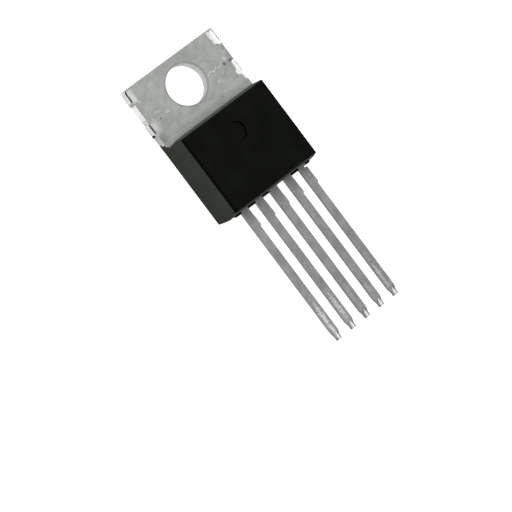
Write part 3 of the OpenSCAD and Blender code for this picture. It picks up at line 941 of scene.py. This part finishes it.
@dataclass
class ShearRidges:
    """Fine upright ridges that the press left on the cut ends of the tie bars, dam bars and tips.

    Each inset is how far the ridges keep from the ends of such a cut face.
    """

    leads: LeadRow = LeadRow()
    tie_bars: TieBars = TieBars()
    spacing: float = 0.07
    thickness: float = 0.03
    proud: float = 0.012
    tie_bar_inset: float = 0.04
    dam_bar_inset: float = 0.02
    tip_inset: float = 0.05
    seed: int = 7
    slot: str = "tinned_copper"

    def cut_faces(self) -> list[CutFace]:
        """Lists the faces that carry ridges.

        Returns:
            The cut ends of the tie bars, then those of the dam bars and the lead tips.
        """
        faces = []
        half = self.tie_bars.length / 2 - self.tie_bar_inset
        for side in (-1, 1):
            x = self.tie_bars.edge(side)
            for middle in self.tie_bars.middles:
                faces.append(CutFace((x, middle - half), (x, middle + half), self.tie_bars.top / 2,
                                     self.tie_bars.top))
        row = self.leads
        middle_z = row.back + row.thickness / 2
        inset = self.dam_bar_inset
        half = row.neck_width / 2 - self.tip_inset
        for number in row.numbers:
            middle = row.middle(number)
            edge = middle + row.width / 2
            faces.append(CutFace((edge + inset, row.shoulder_y - row.dam_bar_width + inset),
                                 (edge + row.dam_bar_width - inset, row.shoulder_y - inset), middle_z,
                                 row.thickness))
            faces.append(CutFace((middle - half, row.tip_y), (middle + half, row.tip_y),
                                 middle_z - row.tip_drop / 2, row.thickness - row.tip_drop))
        return faces

    def build(self, material: Material) -> None:
        """Builds all the ridges as one piece.

        Args:
            material: the plating's material.
        """
        mesh = bpy.data.meshes.new("shear_ridges")
        points, lines, heights = [], [], []
        for face in self.cut_faces():
            lines.append((len(points), len(points) + 1))
            for x, y in (face.start, face.end):
                points.append((x * MM, y * MM, face.middle_z * MM))
                heights.append(face.height * MM)
        mesh.from_pydata(points, lines, [])
        attribute = mesh.attributes.new("height", "FLOAT", "POINT")
        attribute.data.foreach_set("value", heights)
        piece = add_object("shear_ridges", mesh)
        tree = ridge_tree()
        modifier = piece.modifiers.new("ridges", "NODES")
        modifier.node_group = tree
        values = {"Spacing": self.spacing * MM, "Thickness": self.thickness * MM, "Proud": self.proud * MM,
                  "Seed": self.seed, "Material": material}
        for item in tree.interface.items_tree:
            if item.item_type == "SOCKET" and item.in_out == "INPUT" and item.name in values:
                modifier[item.identifier] = values[item.name]
        apply_modifiers(piece)
        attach(piece, BODY)
        log.info("%s: %d faces", piece.name, len(piece.data.polygons))


# Shortest and tallest ridge, as shares of the sheared metal's height
RIDGE_SHARES = (0.45, 0.9)


def ridge_tree() -> NodeTree:
    """Makes the geometry tree that sets upright ridges along the lines it is given.

    Returns:
        The tree, from lines with a height to ridges with a material.
    """
    tree = bpy.data.node_groups.new("shear_ridges", "GeometryNodeTree")
    for name, kind in (("Lines", "Geometry"), ("Spacing", "Float"), ("Thickness", "Float"),
                       ("Proud", "Float"), ("Seed", "Int"), ("Material", "Material")):
        tree.interface.new_socket(name=name, in_out="INPUT", socket_type=f"NodeSocket{kind}")
    tree.interface.new_socket(name="Ridges", in_out="OUTPUT", socket_type="NodeSocketGeometry")
    graph = Graph(tree)
    given = graph.node("NodeGroupInput").outputs
    curve = graph.node("GeometryNodeMeshToCurve", {"Mesh": given["Lines"]})
    points = graph.node("GeometryNodeResampleCurve", {"Curve": curve.outputs[0], "Length": given["Spacing"]},
                        mode="LENGTH")
    height = graph.node("GeometryNodeInputNamedAttribute", {"Name": "height"}, data_type="FLOAT")
    share = graph.node("FunctionNodeRandomValue", {"Seed": given["Seed"]}, data_type="FLOAT")
    share.inputs[2].default_value, share.inputs[3].default_value = RIDGE_SHARES
    size = graph.node("ShaderNodeCombineXYZ", {
        "X": given["Thickness"], "Y": given["Proud"],
        "Z": graph.math("MULTIPLY", height.outputs[0], share.outputs[1])})
    block = graph.node("GeometryNodeMeshCube", {"Size": (1.0, 2.0, 1.0)})
    tangent = graph.node("GeometryNodeInputTangent")
    turn = graph.node("FunctionNodeAlignRotationToVector", {"Vector": tangent.outputs[0]}, axis="X",
                      pivot_axis="Z")
    ridges = graph.node("GeometryNodeInstanceOnPoints", {
        "Points": points.outputs[0], "Instance": block.outputs[0], "Rotation": turn.outputs[0],
        "Scale": size.outputs[0]})
    solid = graph.node("GeometryNodeRealizeInstances", {"Geometry": ridges.outputs[0]})
    dressed = graph.node("GeometryNodeSetMaterial", {
        "Geometry": solid.outputs[0], "Material": given["Material"]})
    graph.node("NodeGroupOutput", {"Ridges": dressed.outputs[0]})
    return tree


@dataclass
class Moulding:
    """The epoxy housing, shown as the CAD has it."""

    node: str = "moulded_body"

    def dress(self, material: Material) -> None:
        """Gives the housing its material."""
        dress_node(self.node, material)


@dataclass
class InnerParts:
    """The die, its solder and the bond wires, which the housing hides."""

    die: str = "silicon_die"
    solder: str = "die_solder"
    wire_prefix: str = "bond_wire_"

    def dress(self, silicon: Material, solder: Material, wire: Material) -> None:
        """Gives each inner piece its material.

        Args:
            silicon: the die's material.
            solder: the solder's material.
            wire: the bond wires' material.
        """
        dress_node(self.die, silicon)
        dress_node(self.solder, solder)
        for name in sorted(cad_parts):
            if name.startswith(self.wire_prefix):
                dress_node(name, wire)


def dress_node(node: str, material: Material) -> None:
    """Puts a material on a CAD node that is shown as it is.

    Args:
        node: name of the CAD node.
        material: its material.
    """
    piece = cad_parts[node]
    if piece.material_slots:
        for material_slot in piece.material_slots:
            material_slot.material = material
    else:
        piece.data.materials.append(material)
    log.info("%s: dressed in %s", node, material.name)


@dataclass(frozen=True)
class PhotoCamera:
    """The photograph's camera, as it was fitted to the part's outlines."""

    focal_px: float = 3223.7
    frame_px: float = 512.0
    sensor: float = 36.0
    target: tuple[float, float, float] = (0.0, -10.0, 2.0)
    tilt_x: float = 0.0356
    tilt_y: float = 0.3455
    turn_z: float = -0.0017
    offset: tuple[float, float, float] = (4.2981, 5.9101, -286.24)
    picture_turn: float = 37.0
    principal_px: tuple[float, float] = (2.07, -0.19)
    nearest: float = 10.0
    farthest: float = 5000.0

    def place(self) -> None:
        """Adds the camera and makes it the scene's."""
        picture = Matrix.Rotation(math.radians(self.picture_turn), 4, "Z")
        turn = (Matrix.Rotation(self.turn_z, 4, "Z") @ Matrix.Rotation(self.tilt_x, 4, "X")
                @ Matrix.Rotation(self.tilt_y, 4, "Y"))
        part_to_camera = (picture @ Matrix.Translation(Vector(self.offset) * MM) @ turn
                          @ Matrix.Translation(-Vector(self.target) * MM))
        data = bpy.data.cameras.new("photo_camera")
        data.sensor_width = self.sensor
        data.lens = self.focal_px / self.frame_px * self.sensor
        shift = picture @ Vector((*self.principal_px, 0.0))
        data.shift_x = -shift.x / self.frame_px
        data.shift_y = -shift.y / self.frame_px
        data.clip_start = self.nearest * MM
        data.clip_end = self.farthest * MM
        camera = add_object("photo_camera", data)
        camera.matrix_world = part_to_camera.inverted()
        bpy.context.scene.camera = camera


@dataclass(frozen=True)
class Lamp:
    """A large square lamp that faces the part: its middle, its side and its power in watts."""

    name: str
    place: tuple[float, float, float]
    size: float = 260.0
    power: float = 0.95
    aim: tuple[float, float, float] = (0.0, -8.0, 2.0)

    def build(self) -> None:
        """Adds the lamp."""
        data = bpy.data.lights.new(self.name, "AREA")
        data.size = self.size * MM
        data.energy = self.power
        lamp = add_object(self.name, data)
        lamp.location = Vector(self.place) * MM
        lamp.rotation_euler = (Vector(self.aim) * MM - lamp.location).to_track_quat("-Z", "Y").to_euler()


@dataclass(frozen=True)
class Studio:
    """White floor, soft surroundings that are darker overhead, and two large soft lamps.

    The reaches are heights in the surroundings, from 0 at the horizon to 1 overhead.
    """

    floor_half: float = 400.0
    floor_gap: float = 0.02
    floor_albedo: float = 0.6
    floor_glow: float = 0.9
    overhead: float = 0.08
    horizon: float = 0.54
    overhead_reach: float = 0.75
    horizon_reach: float = 0.25
    lamps: tuple[Lamp, ...] = (Lamp("lamp_left", (-180.0, -80.0, 320.0)),
                               Lamp("lamp_top", (120.0, 200.0, 320.0)))

    def build(self) -> None:
        """Adds the floor, the surroundings and the lamps."""
        self._floor()
        self._surroundings()
        for lamp in self.lamps:
            lamp.build()

    def _floor(self) -> None:
        """Adds the floor, white to the camera and to reflections, with the part's shadow."""
        half = self.floor_half * MM
        mesh = bpy.data.meshes.new("floor")
        level = -self.floor_gap * MM
        corners = [(-half, -half, level), (half, -half, level), (half, half, level), (-half, half, level)]
        mesh.from_pydata(corners, [], [(0, 1, 2, 3)])
        floor = add_object("floor", mesh)
        material = bpy.data.materials.new("floor_white")
        material.use_nodes = True
        material.node_tree.nodes.clear()
        graph = Graph(material.node_tree)
        diffuse = graph.node("ShaderNodeBsdfDiffuse", {"Color": grey(self.floor_albedo, 0.0)})
        rays = graph.node("ShaderNodeLightPath")
        seen = graph.math("MAXIMUM", rays.outputs["Is Camera Ray"], rays.outputs["Is Glossy Ray"])
        seen = graph.math("MAXIMUM", seen, rays.outputs["Is Transmission Ray"])
        glow = graph.node("ShaderNodeEmission", {
            "Color": grey(1.0, 0.0), "Strength": graph.math("MULTIPLY", seen, self.floor_glow)})
        both = graph.node("ShaderNodeAddShader", {0: diffuse.outputs[0], 1: glow.outputs[0]})
        graph.node("ShaderNodeOutputMaterial", {"Surface": both.outputs[0]})
        mesh.materials.append(material)

    def _surroundings(self) -> None:
        """Lights the scene from all round, less from straight above."""
        world = bpy.data.worlds.new("surroundings")
        bpy.context.scene.world = world
        world.use_nodes = True
        world.node_tree.nodes.clear()
        graph = Graph(world.node_tree)
        coordinates = graph.node("ShaderNodeTexCoord")
        split = graph.node("ShaderNodeSeparateXYZ", {0: coordinates.outputs["Generated"]})
        level = graph.ramp(split.outputs["Z"], self.horizon_reach, self.overhead_reach, self.horizon,
                           self.overhead)
        background = graph.node("ShaderNodeBackground", {"Color": grey(1.0, 0.0), "Strength": level})
        graph.node("ShaderNodeOutputWorld", {"Surface": background.outputs[0]})


def main() -> None:
    """Builds the part's looks, then the studio round it."""
    logging.basicConfig(level=logging.INFO, format="%(name)s: %(message)s")
    bpy.context.scene.view_settings.view_transform = "Standard"
    wear = wear_group()
    patch = patch_group()
    plating = TinnedMetal().material(wear, patch)
    LeadFrame().build(plating)
    ShearRidges().build(plating)
    Moulding().dress(MouldedEpoxy().material(wear))
    InnerParts().dress(
        PlainMetal("polished_silicon", (0.1, 0.11, 0.16, 1.0), 0.2, 0.6).material(wear),
        PlainMetal("soft_solder", (0.3, 0.3, 0.32, 1.0), 0.5, 0.9).material(wear),
        PlainMetal("drawn_wire", (0.6, 0.6, 0.62, 1.0), 0.35, 1.0).material(wear))
    Studio().build()
    PhotoCamera().place()


if __name__ == "__main__":
    main()
